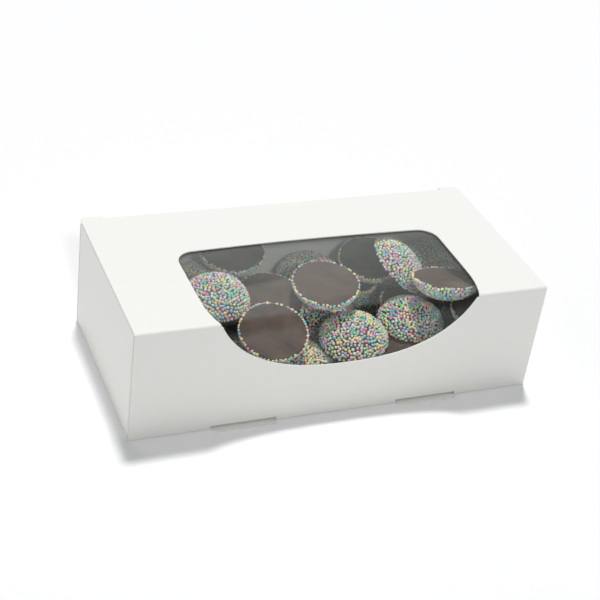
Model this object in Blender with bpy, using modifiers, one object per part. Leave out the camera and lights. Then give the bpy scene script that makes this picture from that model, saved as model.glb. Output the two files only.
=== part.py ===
"""Window-top candy box: a folded paperboard carton, filled with nonpareils.

Metres, +Z up. The box stands on z = 0, its length runs along X, and its front
faces -Y. The tray is still. The lid turns on the crease at its back, the front
flap on the crease at the lid's front, and two lock tabs on creases low on the flap.
"""

import math

import bmesh
import bpy
import numpy as np
from mathutils import Matrix, Vector

MM = 0.001

# Box
BOX_LENGTH = 177.8 * MM
BOX_WIDTH = 85.7 * MM
BOX_HEIGHT = 50.8 * MM
BOARD = 0.5 * MM
FILM = 0.15 * MM
GAP = 0.3 * MM  # between pieces that lie against each other
CREASE_ROUND = 0.4 * MM
WELD = 0.01 * MM  # points closer than this are one

# Window, one opening that runs over the crease between lid and flap
WINDOW_HALF_WIDTH = 58.9 * MM
WINDOW_ASIDE = 1.0 * MM  # the window is cut this far to the right of the middle
WINDOW_BACK = 53.4 * MM  # from the front crease to the window's back corners
WINDOW_BACK_BOW = 1.2 * MM
WINDOW_CORNER = 8.0 * MM
WINDOW_SHOULDER = 19.8 * MM  # behind the front crease, where the sides start to draw in
WINDOW_DROP = 26.0 * MM  # down the flap
WINDOW_POWER = 2.43  # 2 would be an ellipse, more is squarer
FILM_LAP = 7.0 * MM  # film behind the board, round the window
FRONT_WALL_LAP = 2.5 * MM  # the tray's front wall stays this far outside the window

# Locks in the lower front edge
LOCK_CENTRE = 40.9 * MM
LOCK_WIDTH = 27.3 * MM
LOCK_TAB_REACH = 4.0 * MM
LOCK_TAB_HEIGHT = 1.2 * MM  # underside of the tab above the table
LOCK_CORNER = 1.2 * MM
NOTCH_CORNER = 0.6 * MM
TONGUE_REACH = 2.4 * MM  # the bottom's tongues stick out this far in front
FLAP_LIFT = 0.3 * MM

# Ears at the ends of the back crease
EAR_WIDTH = 8.5 * MM
EAR_REACH = 1.2 * MM
EAR_INSET = 1.0 * MM

# Glue tabs inside the four corners
TAB_LENGTH = 22.0 * MM
TAB_DROP = 3.0 * MM
TAB_TAPER = 4.0 * MM

# Candies
CANDY_DIAMETER = 30.0 * MM
CANDY_HEIGHT = 9.5 * MM
CANDY_SIDES = 18
HEAP_CLEARANCE = 0.8 * MM  # from the heap's top to the film
HEAP_ROOM = 24.0 * MM  # height kept for the heap above the lower layers
LAYER_SPREAD = 1.4  # from candy to candy along a row of the lower layers, in diameters
LAYER_LEAN = 3.0
GOLDEN_ANGLE = 137.5
STEPS_ASIDE = 4  # tries round a candy's place, where the pile leaves no height there
PEAK_POINTS = 9  # places tried at a time, to find where two candies touch
PEAK_ROUNDS = 6

CUTTER_DEPTH = 6.0 * MM  # cutters pass right through a board
AXIS_MARK = 10.0 * MM  # the size at which the joints' empties are drawn

# Places worked out from the sizes above. FRONT and BACK keep the whole part, with
# its tongues and ears, centred on the origin.
FRONT = (TONGUE_REACH - EAR_REACH - BOX_WIDTH) / 2
BACK = FRONT + BOX_WIDTH
RIGHT = BOX_LENGTH / 2
LID_Z = BOX_HEIGHT - BOARD
LID_FILM_Z = LID_Z - GAP - FILM
WALL_BASE = BOARD + GAP
WALL_TOP = LID_Z - GAP
FLAP_FILM_Y = FRONT + BOARD + GAP
FRONT_WALL_Y = FLAP_FILM_Y + FILM + GAP
FRONT_WALL_TOP = LID_FILM_Z - GAP
FRONT_TAB_Y = FRONT_WALL_Y + BOARD + GAP
BACK_WALL_Y = BACK - BOARD
BACK_TAB_Y = BACK_WALL_Y - GAP - BOARD
END_TAB_X = RIGHT - BOARD - GAP
LID_AXIS = Vector((0, BACK - BOARD / 2, BOX_HEIGHT - BOARD / 2))
FLAP_AXIS = Vector((0, FRONT + BOARD / 2, BOX_HEIGHT - BOARD / 2))
LOCK_AXIS = Vector((0, FRONT + BOARD / 2, LOCK_TAB_HEIGHT + BOARD / 2))
HEAP_FRONT = max(FRONT_TAB_Y + BOARD, FRONT + LOCK_TAB_REACH) + GAP
HEAP_BACK = BACK_TAB_Y - GAP
HEAP_SIDE = END_TAB_X
HEAP_BASE = BOARD + GAP
HEAP_TOP = LID_FILM_Z - HEAP_CLEARANCE

WHITE_BOARD = ((0.88, 0.88, 0.86), 0.6, 1.0)
RAW_BOARD = ((0.78, 0.77, 0.73), 0.8, 1.0)
CLEAR_FILM = ((0.95, 0.96, 0.96), 0.08, 0.2)
DARK_CHOCOLATE = ((0.06, 0.035, 0.025), 0.5, 1.0)

# The candies of the heap that show, in the order they are laid. Each has its place
# as a share of the room inside, along and back, the angle it leans from flat, the
# compass angle its upper side faces (0 is +X, 270 the front) and which side is up.
HEAP = (
    (0.08, 0.15, 5, 200, "dome"),
    (0.08, 0.85, 5, 60, "flat"),
    (0.93, 0.93, 5, 60, "dome"),
    (1.00, 0.10, 4, 200, "flat"),
    (0.40, 0.485, 18, 258, "flat"),
    (0.28, 0.94, 6, 280, "dome"),
    (0.57, 0.96, 6, 280, "dome"),
    (0.36, 0.14, 20, 262, "flat"),
    (0.568, 0.167, 12, 240, "dome"),
    (0.74, 0.272, 4, 265, "dome"),
    (0.26, 0.47, 8, 255, "dome"),
    (0.525, 0.405, 8, 250, "flat"),
    (0.35, 0.81, 10, 255, "flat"),
    (0.722, 0.766, 10, 240, "flat"),
    (0.761, 0.539, 39, 340, "dome"),
    (0.807, 0.233, 14, 80, "flat"),
)


def clear_scene():
    for obj in list(bpy.data.objects):
        bpy.data.objects.remove(obj, do_unlink=True)


def new_collection(name):
    collection = bpy.data.collections.new(name)
    bpy.context.scene.collection.children.link(collection)
    return collection


def move_to(obj, collection):
    for owner in list(obj.users_collection):
        owner.objects.unlink(obj)
    collection.objects.link(obj)


def finish(obj, look):
    colour, roughness, alpha = look
    material = bpy.data.materials.new(obj.name)
    material.use_nodes = True
    shader = material.node_tree.nodes["Principled BSDF"]
    shader.inputs["Base Color"].default_value = (*colour, 1.0)
    shader.inputs["Roughness"].default_value = roughness
    shader.inputs["Metallic"].default_value = 0.0
    shader.inputs["Alpha"].default_value = alpha
    material.diffuse_color = (*colour, alpha)
    obj.data.materials.clear()
    obj.data.materials.append(material)


def box(name, low, high, collection):
    """A block between two corners, with its scale applied."""
    size = Vector(high) - Vector(low)
    bpy.ops.mesh.primitive_cube_add(size=1, location=(Vector(low) + Vector(high)) / 2)
    obj = bpy.context.active_object
    obj.name = name
    obj.data.name = name
    obj.data.transform(Matrix.Diagonal((*size, 1)))
    move_to(obj, collection)
    return obj


def plate(name, outline, thickness, place, collection):
    """A flat outline given a thickness, from its plane inwards along -Z of place."""
    curve = bpy.data.curves.new(name, "CURVE")
    curve.dimensions = "2D"
    curve.fill_mode = "BOTH"
    curve.extrude = thickness / 2
    spline = curve.splines.new("POLY")
    spline.points.add(len(outline) - 1)
    for point, (x, y) in zip(spline.points, outline):
        point.co = (x, y, -thickness / 2, 1)
    spline.use_cyclic_u = True
    guide = bpy.data.objects.new(name + "_curve", curve)
    bpy.context.scene.collection.objects.link(guide)
    bpy.context.view_layer.update()
    solid = guide.evaluated_get(bpy.context.evaluated_depsgraph_get())
    mesh = bpy.data.meshes.new_from_object(solid)
    mesh.name = name
    bpy.data.objects.remove(guide, do_unlink=True)
    weld(mesh)
    obj = bpy.data.objects.new(name, mesh)
    obj.matrix_world = place
    collection.objects.link(obj)
    return obj


def weld(mesh):
    work = bmesh.new()
    work.from_mesh(mesh)
    bmesh.ops.remove_doubles(work, verts=work.verts, dist=WELD)
    bmesh.ops.recalc_face_normals(work, faces=work.faces)
    work.to_mesh(mesh)
    work.free()


def round_edges(obj, radius, chosen, segments=3):
    """Bevel the edges whose two end points both pass a test on their place."""
    mesh = obj.data
    weights = mesh.attributes.new("bevel_weight_edge", "FLOAT", "EDGE")
    for edge in mesh.edges:
        ends = [obj.location + mesh.vertices[i].co for i in edge.vertices]
        weights.data[edge.index].value = 1.0 if chosen(*ends) else 0.0
    bevel = obj.modifiers.new("Rounded", "BEVEL")
    bevel.limit_method = "WEIGHT"
    bevel.width = radius
    bevel.segments = segments


def combine(obj, other, operation):
    other.hide_render = True
    other.display_type = "WIRE"
    step = obj.modifiers.new(other.name, "BOOLEAN")
    step.operation = operation
    step.solver = "EXACT"
    step.object = other


def along_x_at(y=None, z=None):
    """A test for edges along X that lie at a given y and z."""
    def chosen(a, b):
        return all(abs(p.y - y) < WELD and abs(p.z - z) < WELD for p in (a, b))
    return chosen


def flat_at(z):
    return Matrix.Translation((0, 0, z))


def upright_at(y):
    """A plane facing the front: outline x stays x, outline y becomes z."""
    return Matrix.Translation((0, y, 0)) @ Matrix.Rotation(math.radians(90), 4, "X")


def arc(centre, radius, start, end, steps):
    points = []
    for i in range(steps + 1):
        angle = math.radians(start + (end - start) * i / steps)
        points.append((centre[0] + radius * math.cos(angle), centre[1] + radius * math.sin(angle)))
    return points


def window_outline(lap=0.0):
    """Half-way round from the left shoulder over the back, then the round front.

    The second number is the distance behind the front crease, less than 0 down the flap.
    """
    half = WINDOW_HALF_WIDTH + lap
    back = WINDOW_BACK + lap
    corner = WINDOW_CORNER + lap
    points = [(-half, WINDOW_SHOULDER)]
    points += arc((corner - half, back - corner), corner, 180, 90, 4)
    for i in range(1, 6):
        x = (half - corner) * (i / 3 - 1)
        points.append((x, back + WINDOW_BACK_BOW * (1 - (x / (half - corner)) ** 2)))
    points += arc((half - corner, back - corner), corner, 90, 0, 4)
    drop = WINDOW_DROP + WINDOW_SHOULDER + lap
    steps = 28
    for i in range(steps):
        angle = math.pi * i / steps
        x = math.copysign(abs(math.cos(angle)) ** (2 / WINDOW_POWER), math.cos(angle)) * half
        points.append((x, WINDOW_SHOULDER - drop * math.sin(angle) ** (2 / WINDOW_POWER)))
    return [(x + WINDOW_ASIDE, behind) for x, behind in points]


def slot_outline(centre, width, low, high, radius):
    """A slot that is open below, with rounded upper corners."""
    left = centre - width / 2
    right = centre + width / 2
    points = [(left, low), (right, low)]
    points += arc((right - radius, high - radius), radius, 0, 90, 3)
    points += arc((left + radius, high - radius), radius, 90, 180, 3)
    return points


def lock_slot_top():
    """Height that lets a lock tab rise out of the wall as the lid alone opens."""
    forward = LOCK_TAB_REACH - (FRONT_WALL_Y - FRONT)
    rise = forward * BOX_WIDTH / (BOX_HEIGHT - LOCK_TAB_HEIGHT)
    return LOCK_TAB_HEIGHT + BOARD + rise + 2 * GAP


def window_cutter(name, lap, upright_y, cutters):
    """The window's outline as a cutter, lying over the lid or standing at the flap."""
    outline = [(x, FRONT + s) for x, s in window_outline(lap)]
    if upright_y is None:
        return plate(name, outline, CUTTER_DEPTH, flat_at(BOX_HEIGHT + CUTTER_DEPTH / 2), cutters)
    outline = [(x, BOX_HEIGHT + s) for x, s in window_outline(lap)]
    return plate(name, outline, CUTTER_DEPTH, upright_at(upright_y - CUTTER_DEPTH / 2), cutters)


def make_bottom(parts, cutters):
    bottom = box("bottom_panel", (-RIGHT, FRONT_WALL_Y, 0), (RIGHT, BACK, BOARD), parts)
    rim = (FRONT_WALL_Y, BACK)
    def lower_rim(a, b):
        low = a.z < BOARD / 2 and b.z < BOARD / 2
        return low and (any(abs(a.y - y) + abs(b.y - y) < GAP for y in rim) or abs(a.x - b.x) < GAP)
    round_edges(bottom, CREASE_ROUND, lower_rim)
    for side, name in ((-1, "left"), (1, "right")):
        low_x = side * LOCK_CENTRE - LOCK_WIDTH / 2
        outline = slot_outline(0, LOCK_WIDTH, 0, TONGUE_REACH + FRONT_WALL_Y - FRONT + BOARD, LOCK_CORNER)
        place = Matrix.Translation((low_x + LOCK_WIDTH / 2, FRONT_WALL_Y + BOARD, BOARD))
        outline = [(x, -y) for x, y in reversed(outline)]
        tongue = plate(name + "_tongue", outline, BOARD, place, cutters)
        combine(bottom, tongue, "UNION")
    finish(bottom, WHITE_BOARD)


def make_back_wall(parts, cutters):
    wall = box("back_wall", (-RIGHT, BACK_WALL_Y, WALL_BASE), (RIGHT, BACK, WALL_TOP), parts)
    ear_sweep = math.hypot(EAR_REACH + BOARD / 2, BOARD / 2) + GAP
    for side, name in ((-1, "left"), (1, "right")):
        inner = side * (RIGHT - EAR_INSET - EAR_WIDTH - GAP)
        outer = side * (RIGHT + GAP)
        low = (min(inner, outer), BACK_WALL_Y - BOARD, LID_AXIS.z - ear_sweep)
        high = (max(inner, outer), BACK + BOARD, BOX_HEIGHT)
        combine(wall, box(name + "_ear_notch", low, high, cutters), "DIFFERENCE")
    finish(wall, WHITE_BOARD)


def make_front_wall(parts, cutters):
    low = (-RIGHT, FRONT_WALL_Y, WALL_BASE)
    high = (RIGHT, FRONT_WALL_Y + BOARD, FRONT_WALL_TOP)
    wall = box("front_inner_wall", low, high, parts)
    combine(wall, window_cutter("front_wall_window", FRONT_WALL_LAP, FRONT_WALL_Y, cutters), "DIFFERENCE")
    for side, name in ((-1, "left"), (1, "right")):
        outline = slot_outline(side * LOCK_CENTRE, LOCK_WIDTH + 2 * GAP, 0, lock_slot_top(), LOCK_CORNER)
        slot = plate(name + "_lock_slot", outline, CUTTER_DEPTH, upright_at(FRONT_WALL_Y - CUTTER_DEPTH / 2), cutters)
        combine(wall, slot, "DIFFERENCE")
    finish(wall, WHITE_BOARD)


def make_end_wall(name, side, parts):
    xs = sorted((side * RIGHT, side * (RIGHT - BOARD)))
    low = (xs[0], FRONT_TAB_Y, WALL_BASE)
    high = (xs[1], BACK_TAB_Y + BOARD, WALL_TOP)
    wall = box(name, low, high, parts)
    def outer_upright(a, b):
        return abs(a.x - b.x) < GAP and abs(a.x) > RIGHT - BOARD / 2 and abs(a.y - b.y) < GAP
    round_edges(wall, CREASE_ROUND, outer_upright)
    finish(wall, WHITE_BOARD)


def make_glue_tab(name, side, y, parts):
    top = WALL_TOP - TAB_DROP
    outline = [(0, WALL_BASE), (TAB_LENGTH - TAB_TAPER / 2, WALL_BASE)]
    outline += [(TAB_LENGTH, WALL_BASE + TAB_TAPER), (TAB_LENGTH, top - TAB_TAPER)]
    outline += [(TAB_LENGTH - TAB_TAPER / 2, top), (0, top)]
    outline = [(side * (END_TAB_X - u), z) for u, z in outline]
    if side > 0:
        outline.reverse()
    tab = plate(name, outline, BOARD, upright_at(y), parts)
    finish(tab, RAW_BOARD)


def make_tray(parts, cutters):
    make_bottom(parts, cutters)
    make_back_wall(parts, cutters)
    make_front_wall(parts, cutters)
    for side, name in ((-1, "left"), (1, "right")):
        make_end_wall(name + "_end_wall", side, parts)
        make_glue_tab("front_" + name + "_glue_tab", side, FRONT_TAB_Y, parts)
        make_glue_tab("back_" + name + "_glue_tab", side, BACK_TAB_Y, parts)


def make_axis(name, at, parent, parts):
    """An empty on a joint's axis, which carries the pieces that turn there."""
    empty = bpy.data.objects.new(name, None)
    empty.location = at
    empty.empty_display_size = AXIS_MARK
    parts.objects.link(empty)
    if parent:
        hang(empty, parent)
    return empty


def hang(obj, parent):
    bpy.context.view_layer.update()
    obj.parent = parent
    obj.matrix_parent_inverse = parent.matrix_world.inverted()


def make_lid(axis, parts, cutters):
    lid = box("lid_panel", (-RIGHT, FRONT, LID_Z), (RIGHT, BACK, BOX_HEIGHT), parts)
    front_edge = along_x_at(FRONT, BOX_HEIGHT)
    back_edge = along_x_at(BACK, BOX_HEIGHT)
    round_edges(lid, CREASE_ROUND, lambda a, b: front_edge(a, b) or back_edge(a, b))
    combine(lid, window_cutter("lid_window", 0, None, cutters), "DIFFERENCE")
    for side, name in ((-1, "left"), (1, "right")):
        xs = sorted((side * (RIGHT - EAR_INSET), side * (RIGHT - EAR_INSET - EAR_WIDTH)))
        low = (xs[0], BACK - 2 * BOARD, LID_Z)
        high = (xs[1], BACK + EAR_REACH, BOX_HEIGHT)
        combine(lid, box(name + "_ear", low, high, cutters), "UNION")
    finish(lid, WHITE_BOARD)
    half = WINDOW_HALF_WIDTH + FILM_LAP
    back = FRONT + WINDOW_BACK + WINDOW_BACK_BOW + FILM_LAP
    low = (WINDOW_ASIDE - half, FRONT_WALL_Y, LID_FILM_Z)
    film = box("lid_window_film", low, (WINDOW_ASIDE + half, back, LID_FILM_Z + FILM), parts)
    finish(film, CLEAR_FILM)
    hang(lid, axis)
    hang(film, axis)


def make_flap(axis, parts, cutters):
    low = (-RIGHT, FRONT, FLAP_LIFT)
    high = (RIGHT, FRONT + BOARD, LID_Z - GAP)
    flap = box("front_flap", low, high, parts)
    combine(flap, window_cutter("flap_window", 0, FRONT, cutters), "DIFFERENCE")
    notch_top = LOCK_TAB_HEIGHT + BOARD + GAP
    for side, name in ((-1, "left"), (1, "right")):
        outline = slot_outline(side * LOCK_CENTRE, LOCK_WIDTH + 2 * GAP, -BOARD, notch_top, NOTCH_CORNER)
        notch = plate(name + "_flap_notch", outline, CUTTER_DEPTH, upright_at(FRONT - CUTTER_DEPTH / 2), cutters)
        combine(flap, notch, "DIFFERENCE")
    finish(flap, WHITE_BOARD)
    half = WINDOW_HALF_WIDTH + FILM_LAP
    low = (WINDOW_ASIDE - half, FLAP_FILM_Y, BOX_HEIGHT - WINDOW_DROP - FILM_LAP)
    high = (WINDOW_ASIDE + half, FLAP_FILM_Y + FILM, FRONT_WALL_TOP)
    film = box("flap_window_film", low, high, parts)
    finish(film, CLEAR_FILM)
    hang(flap, axis)
    hang(film, axis)


def make_lock_tab(name, side, axis, parts):
    outline = slot_outline(0, LOCK_WIDTH, 0, LOCK_TAB_REACH, LOCK_CORNER)
    place = Matrix.Translation((side * LOCK_CENTRE, FRONT, LOCK_TAB_HEIGHT + BOARD))
    tab = plate(name, outline, BOARD, place, parts)
    finish(tab, WHITE_BOARD)
    hang(tab, axis)


def candy_mesh():
    """A low dome on a flat base, turned from its half profile, centred on its height."""
    radius = CANDY_DIAMETER / 2
    profile = ((0, 1), (0.55, 0.9), (0.87, 0.6), (1, 0.26), (0.965, 0), (0, 0))
    mesh = bpy.data.meshes.new("candy_profile")
    points = [(r * radius, 0, (h - 0.5) * CANDY_HEIGHT) for r, h in profile]
    edges = [(i, i + 1) for i in range(len(points) - 1)]
    mesh.from_pydata(points, edges, [])
    obj = bpy.data.objects.new("candy_profile", mesh)
    bpy.context.scene.collection.objects.link(obj)
    screw = obj.modifiers.new("Turned", "SCREW")
    screw.steps = CANDY_SIDES
    screw.render_steps = CANDY_SIDES
    screw.use_merge_vertices = True
    screw.merge_threshold = WELD
    bpy.context.view_layer.update()
    turned = bpy.data.meshes.new_from_object(obj.evaluated_get(bpy.context.evaluated_depsgraph_get()))
    turned.name = "candy"
    bpy.data.objects.remove(obj, do_unlink=True)
    weld(turned)
    turned.shade_smooth()
    turned.set_sharp_from_angle(angle=math.radians(50))
    return turned


def candy_turn(lean, toward, top_side):
    turn = Matrix.Rotation(math.radians(toward), 3, "Z") @ Matrix.Rotation(math.radians(lean), 3, "Y")
    if top_side == "flat":
        turn = turn @ Matrix.Rotation(math.pi, 3, "X")
    return turn


class Shape:
    """A convex candy as its corners and face planes, turned and moved."""

    def __init__(self, mesh, turn):
        rotation = np.array(turn)
        self.points = np.array([v.co for v in mesh.vertices]) @ rotation.T
        self.normals = np.array([p.normal for p in mesh.polygons]) @ rotation.T
        centres = np.array([p.center for p in mesh.polygons]) @ rotation.T
        self.offsets = (self.normals * centres).sum(axis=1)
        self.reach = np.hypot(self.points[:, 0], self.points[:, 1]).max()
        self.at = np.zeros(3)

    def span(self, x, y, margin=0.0):
        """Lowest and highest z of the shape over each x and y, crossed where it is missed."""
        offsets = self.offsets + margin + self.normals @ self.at
        heights = (offsets - np.outer(x, self.normals[:, 0]) - np.outer(y, self.normals[:, 1]))
        down = self.normals[:, 2] < -1e-6
        up = self.normals[:, 2] > 1e-6
        low = (heights[:, down] / self.normals[down, 2]).max(axis=1)
        high = (heights[:, up] / self.normals[up, 2]).min(axis=1)
        return low, high


def lift_over(shape, other):
    """How far up shape has to move to lie one gap above other, or None if it passes by.

    Both are convex, so the lift has one peak in plan. It is closed in on along the
    line between the two candies and, at each point of it, across that line.
    """
    apart = other.at[:2] - shape.at[:2]
    distance = np.hypot(*apart)
    reach = shape.reach + GAP
    low = max(-reach, distance - other.reach)
    high = min(reach, distance + other.reach)
    if low >= high:
        return None
    along = apart / distance if distance > GAP else np.array((1.0, 0.0))
    across = np.array((-along[1], along[0]))
    for _ in range(PEAK_ROUNDS):
        spots = np.linspace(low, high, PEAK_POINTS)
        starts = shape.at[:2] + spots[:, None] * along
        lifts = peaks_across(shape, other, starts, across)
        top = int(lifts.argmax())
        cell = (high - low) / (PEAK_POINTS - 1)
        low = spots[top] - cell
        high = spots[top] + cell
    return lifts[top] if lifts[top] > -np.inf else None


def peaks_across(shape, other, starts, across):
    """The greatest lift on each line that runs across through one of the starts."""
    half = min(shape.reach + GAP, other.reach)
    low = np.full(len(starts), -half)
    high = np.full(len(starts), half)
    for _ in range(PEAK_ROUNDS):
        spots = low[:, None] + (high - low)[:, None] * np.linspace(0, 1, PEAK_POINTS)
        x = (starts[:, 0, None] + spots * across[0]).ravel()
        y = (starts[:, 1, None] + spots * across[1]).ravel()
        under, over = shape.span(x, y, GAP)
        other_low, other_high = other.span(x, y)
        meets = (under < over) & (other_low < other_high)
        lifts = np.where(meets, other_high - under, -np.inf).reshape(spots.shape)
        top = lifts.argmax(axis=1)
        middle = spots[np.arange(len(starts)), top]
        cell = (high - low) / (PEAK_POINTS - 1)
        low = middle - cell
        high = middle + cell
    return lifts.max(axis=1)


def ways_to_lie(lean):
    """A candy's lean and its move in plan: as wanted, then flatter, then ever further aside."""
    for flatter in (1.0, 0.75, 0.5, 0.25, 0.0):
        yield lean * flatter, np.zeros(2)
    for step in range(1, STEPS_ASIDE + 1):
        for angle in range(0, 360, 45):
            direction = np.array((math.cos(math.radians(angle)), math.sin(math.radians(angle))))
            yield lean / 2, direction * step * CANDY_DIAMETER / STEPS_ASIDE


def settle(mesh, share, lean, toward, top_side, placed):
    """Lower a candy on the pile where it fits under the lid, or return None if it does not."""
    for lean, aside in ways_to_lie(lean):
        turn = candy_turn(lean, toward, top_side)
        shape = Shape(mesh, turn)
        low = shape.points.min(axis=0)
        high = shape.points.max(axis=0)
        for axis, near, far in ((0, -HEAP_SIDE, HEAP_SIDE), (1, HEAP_FRONT, HEAP_BACK)):
            wanted = near + share[axis] * (far - near) + aside[axis]
            shape.at[axis] = min(max(wanted, near - low[axis]), far - high[axis])
        shape.at[2] = HEAP_BASE - low[2]
        lifts = [lift_over(shape, other) for other in placed]
        shape.at[2] += max([0.0] + [lift for lift in lifts if lift is not None])
        if shape.at[2] + high[2] <= HEAP_TOP:
            return shape, turn
    return None


def layer_count():
    room = HEAP_TOP - HEAP_BASE - HEAP_ROOM
    lean_height = CANDY_DIAMETER * math.sin(math.radians(LAYER_LEAN))
    return max(1, int(room / (CANDY_HEIGHT + lean_height / 2)))


def lower_layers():
    """Staggered rows of candies side by side, each leaning a little its own way."""
    length = 2 * HEAP_SIDE - CANDY_DIAMETER
    depth = HEAP_BACK - HEAP_FRONT - CANDY_DIAMETER
    columns = int(length / (CANDY_DIAMETER * LAYER_SPREAD)) + 1
    pitch = length / (columns - 0.5)
    clear = CANDY_DIAMETER + 2 * GAP
    rows = int(depth / math.sqrt(max(clear ** 2 - (pitch / 2) ** 2, (clear / 2) ** 2))) + 1
    candies = []
    for layer in range(layer_count()):
        for row in range(rows):
            for column in range(columns):
                shift = 0.5 * ((row + layer) % 2)
                x = CANDY_DIAMETER / 2 + pitch * (column + shift)
                y = CANDY_DIAMETER / 2 + depth * row / max(rows - 1, 1)
                share = (x / (2 * HEAP_SIDE), y / (HEAP_BACK - HEAP_FRONT))
                toward = GOLDEN_ANGLE * len(candies) % 360
                candies.append((share, LAYER_LEAN, toward, "dome" if (row + column) % 2 else "flat"))
    return candies


def make_candies(parts):
    """The lower layers first, then the heap. The heap's candies have the first names."""
    mesh = candy_mesh()
    lower = lower_layers()
    heap = [((x, y), lean, toward, top) for x, y, lean, toward, top in HEAP]
    numbers = [len(heap) + n for n in range(1, len(lower) + 1)] + list(range(1, len(heap) + 1))
    placed = []
    for number, wanted in zip(numbers, lower + heap):
        settled = settle(mesh, *wanted, placed)
        if settled is None:
            continue
        shape, turn = settled
        placed.append(shape)
        candy = bpy.data.objects.new(f"nonpareil_{number:02d}", mesh)
        candy.matrix_world = Matrix.Translation(shape.at) @ turn.to_4x4()
        parts.objects.link(candy)
        if len(placed) == 1:
            finish(candy, DARK_CHOCOLATE)
    top = max(shape.at[2] + shape.points[:, 2].max() for shape in placed)
    print(f"{len(placed)} candies, the highest {(HEAP_TOP - top) / MM:.1f} mm under the heap's limit")


def main():
    clear_scene()
    parts = new_collection("candy_box")
    cutters = new_collection("cutters")
    make_tray(parts, cutters)
    lid_axis = make_axis("lid_axis", LID_AXIS, None, parts)
    make_lid(lid_axis, parts, cutters)
    flap_axis = make_axis("flap_axis", FLAP_AXIS, lid_axis, parts)
    make_flap(flap_axis, parts, cutters)
    for side, name in ((-1, "left"), (1, "right")):
        at = LOCK_AXIS + Vector((side * LOCK_CENTRE, 0, 0))
        lock_axis = make_axis(name + "_lock_axis", at, flap_axis, parts)
        make_lock_tab(name + "_lock_tab", side, lock_axis, parts)
    make_candies(parts)


main()
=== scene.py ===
"""Folded paperboard candy box with a film window, filled with beaded chocolate drops.

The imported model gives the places, sizes and joints. This script dresses it: one folded
board for the lid and front flap, a film bent behind the window, creased tray boards,
and chocolate drops with their coat of sugar beads.
"""

import logging
import math
from contextlib import contextmanager
from dataclasses import dataclass, field
from enum import Enum
from typing import Callable, Iterator

import bmesh
import bpy
import numpy as np
from mathutils import Matrix, Vector


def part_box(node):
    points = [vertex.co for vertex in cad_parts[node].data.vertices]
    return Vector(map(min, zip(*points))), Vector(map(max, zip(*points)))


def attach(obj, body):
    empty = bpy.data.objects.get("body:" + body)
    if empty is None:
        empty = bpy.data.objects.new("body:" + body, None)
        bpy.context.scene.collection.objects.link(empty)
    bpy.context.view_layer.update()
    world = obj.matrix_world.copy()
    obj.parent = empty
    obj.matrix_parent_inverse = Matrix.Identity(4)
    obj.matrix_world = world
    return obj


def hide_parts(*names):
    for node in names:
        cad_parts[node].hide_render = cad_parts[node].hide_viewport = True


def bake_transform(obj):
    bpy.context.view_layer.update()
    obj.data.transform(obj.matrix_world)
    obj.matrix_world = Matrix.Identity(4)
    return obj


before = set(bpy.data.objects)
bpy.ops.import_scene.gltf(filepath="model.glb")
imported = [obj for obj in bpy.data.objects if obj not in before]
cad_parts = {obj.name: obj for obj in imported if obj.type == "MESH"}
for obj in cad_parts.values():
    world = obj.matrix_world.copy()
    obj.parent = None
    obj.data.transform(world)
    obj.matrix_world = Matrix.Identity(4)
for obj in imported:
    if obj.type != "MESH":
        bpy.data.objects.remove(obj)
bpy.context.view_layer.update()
MM = 0.001
NEAR = 0.03 * MM  # a point this close to a place is on it
UP, BACKWARDS = Vector((0, 0, 1)), Vector((0, 1, 0))
LOG = logging.getLogger("candy_box")
Test = Callable[[Vector], bool]
Piece = bpy.types.Object
Socket = bpy.types.NodeSocket


class Body(Enum):
    """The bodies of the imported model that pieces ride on."""

    TRAY = "tray"
    LID = "lid"
    FLAP = "front_flap"
    LEFT_LOCK = "left_lock"
    RIGHT_LOCK = "right_lock"


class Side(Enum):
    """The box's two ends, as the sign of their X."""

    LEFT = -1
    RIGHT = 1

    @property
    def word(self) -> str:
        """The side's plain name."""
        return self.name.lower()


class Slot(Enum):
    """Material slot names."""

    BOARD = "board"
    FILM = "film"
    CHOCOLATE = "chocolate"


def deselect_all() -> None:
    """Leave object mode with nothing selected."""
    if bpy.context.object and bpy.context.object.mode != "OBJECT":
        bpy.ops.object.mode_set(mode="OBJECT")
    bpy.ops.object.select_all(action="DESELECT")


def make_active(obj: Piece) -> None:
    """Select one object alone and make it the active one.

    Args:
        obj: The object to work on.
    """
    deselect_all()
    obj.select_set(True)
    bpy.context.view_layer.objects.active = obj


@contextmanager
def editing(obj: Piece, mode: str = "EDGE", action: str = "DESELECT") -> Iterator[None]:
    """Edit mode on one object.

    Args:
        obj: The mesh to edit.
        mode: VERT, EDGE or FACE.
        action: DESELECT to start with nothing selected, or SELECT for everything.
    """
    make_active(obj)
    bpy.ops.object.mode_set(mode="EDIT")
    bpy.ops.mesh.select_mode(type=mode)
    bpy.ops.mesh.select_all(action=action)
    yield
    bpy.ops.object.mode_set(mode="OBJECT")


def at(**places: float) -> Test:
    """A test for points on a plane or line, given by their x, y or z."""
    return lambda point: all(abs(getattr(point, axis) - place) < NEAR for axis, place in places.items())


def pick(obj: Piece, test: Test, kind: str = "edges") -> int:
    """Select, in edit mode, the edges or faces whose corners all pass a test.

    Args:
        obj: The mesh in edit mode.
        test: Takes a corner's place.
        kind: edges or faces.

    Returns:
        How many were selected.
    """
    bpy.ops.mesh.select_all(action="DESELECT")
    work = bmesh.from_edit_mesh(obj.data)
    found = 0
    for element in getattr(work, kind):
        if all(test(v.co) for v in element.verts):
            element.select_set(True)
            found += 1
    bmesh.update_edit_mesh(obj.data)
    return found


def extrude(move: tuple | Vector) -> None:
    """Extrude what is selected in edit mode and move it."""
    bpy.ops.mesh.extrude_region_move(TRANSFORM_OT_translate={"value": move})


def named(name: str) -> Piece:
    """Give the newest primitive and its mesh their name.

    Args:
        name: The piece's name.

    Returns:
        The object.
    """
    obj = bpy.context.active_object
    obj.name = obj.data.name = name
    return obj


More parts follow.
